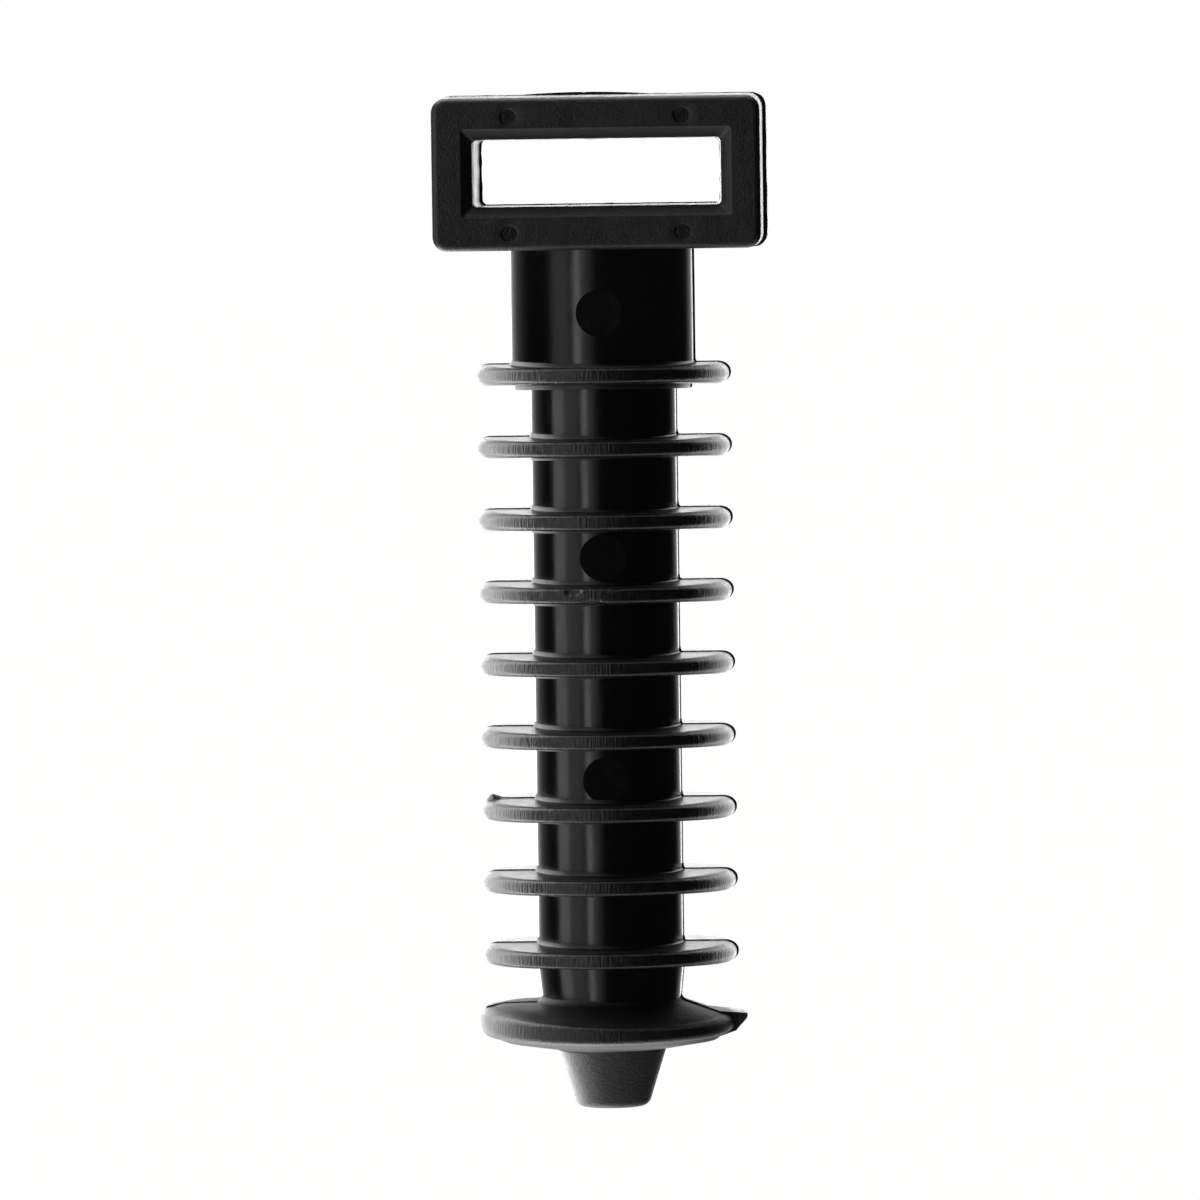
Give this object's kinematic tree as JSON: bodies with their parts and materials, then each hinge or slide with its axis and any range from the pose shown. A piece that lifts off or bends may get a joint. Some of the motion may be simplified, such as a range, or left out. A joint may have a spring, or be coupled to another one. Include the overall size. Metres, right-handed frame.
{
  "type": "cable tie masonry anchor",
  "caption": "Push-in nylon wall anchor: a slotted rectangular eyelet head for a cable tie on a finned round shank with a blunt tip.",
  "frame": {"origin": "on the shank's axis at the head's underside, the face that rests on the wall", "axes": "+Z along the shank's axis out of the wall, from the tip towards the head; +X across the head, along the slot's width; -Y faces the slot's front mouth"},
  "size_m": [0.013, 0.0106, 0.0398],
  "materials": {
    "nylon_head": "satin moulded polyamide, fine spark-eroded mould texture",
    "nylon_shank": "semi-gloss moulded polyamide, turned and polished mould",
    "nylon_fins": "satin moulded polyamide with fine tool marks round the rims",
    "nylon_tip": "matte, slightly grainy moulded polyamide"
  },
  "bodies": {
    "root": {"eyelet_head": "nylon_head", "strike_pad": "nylon_head", "collar": "nylon_shank", "core": "nylon_shank", "fin_01": "nylon_fins", "fin_02": "nylon_fins", "fin_03": "nylon_fins", "fin_04": "nylon_fins", "fin_05": "nylon_fins", "fin_06": "nylon_fins", "fin_07": "nylon_fins", "fin_08": "nylon_fins", "fin_09": "nylon_fins", "lead_fin": "nylon_fins", "tip": "nylon_tip"}
  },
  "joints": []
}
